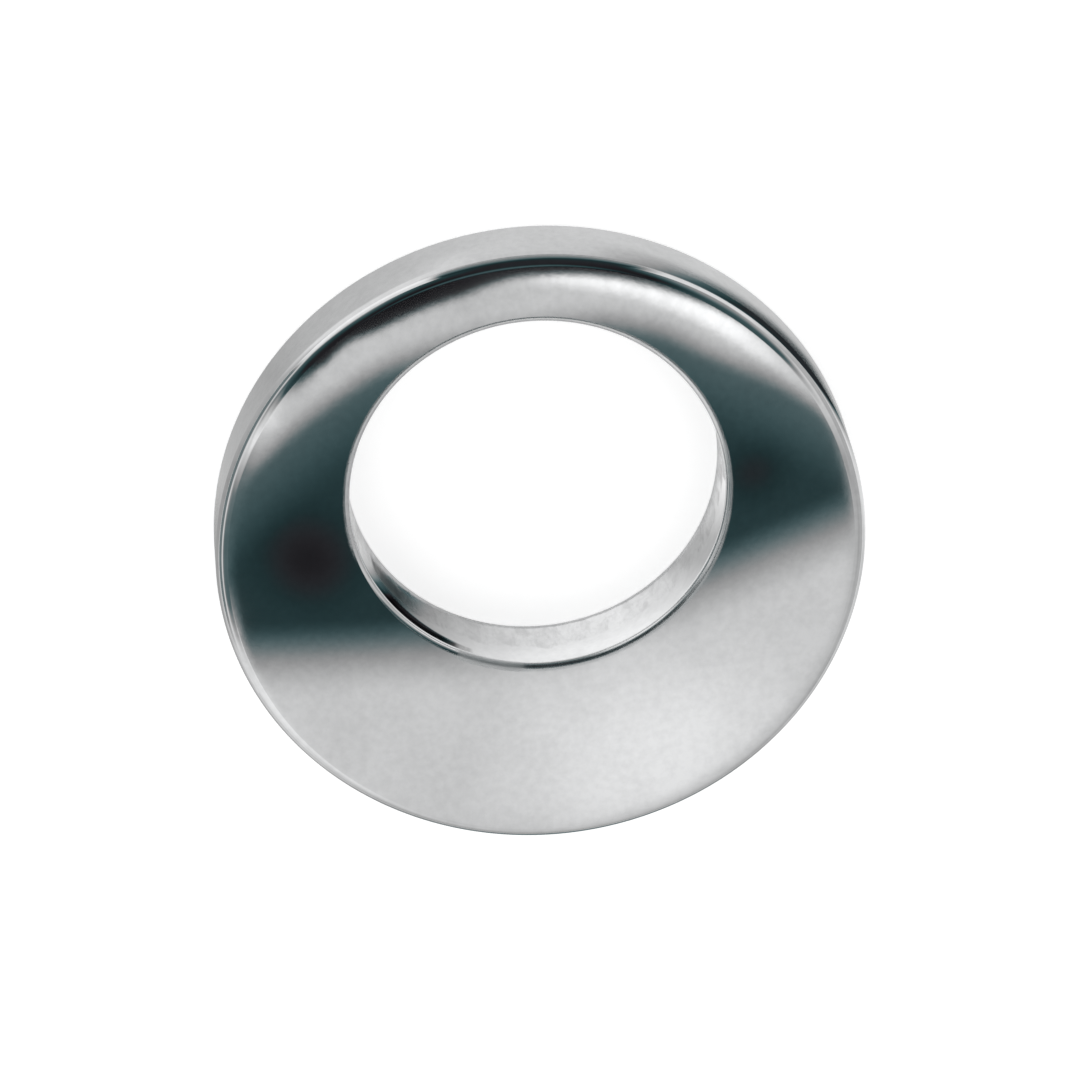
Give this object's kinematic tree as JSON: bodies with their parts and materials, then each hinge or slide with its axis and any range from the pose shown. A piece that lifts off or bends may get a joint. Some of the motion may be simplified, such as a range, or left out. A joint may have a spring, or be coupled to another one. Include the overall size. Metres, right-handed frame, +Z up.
{
  "type": "offset washer",
  "caption": "Thick round washer with an off-centre bore, a flat lower face, a straight rim and a slightly crowned upper face, in bright plated metal.",
  "frame": {"origin": "middle of the round outer edge at the flat lower face, on the surface the washer lies on", "axes": "+Z up through the crowned face, square to the flat face; +X from the middle of the disc towards the bore's axis"},
  "size_m": [0.03, 0.03, 0.004],
  "materials": {
    "plating": "bright chrome plating on steel, mirror-like with a faint haze on the faces, softly brushed on the rim and finely mottled in the bore"
  },
  "bodies": {
    "root": {"washer": "plating"}
  },
  "joints": []
}
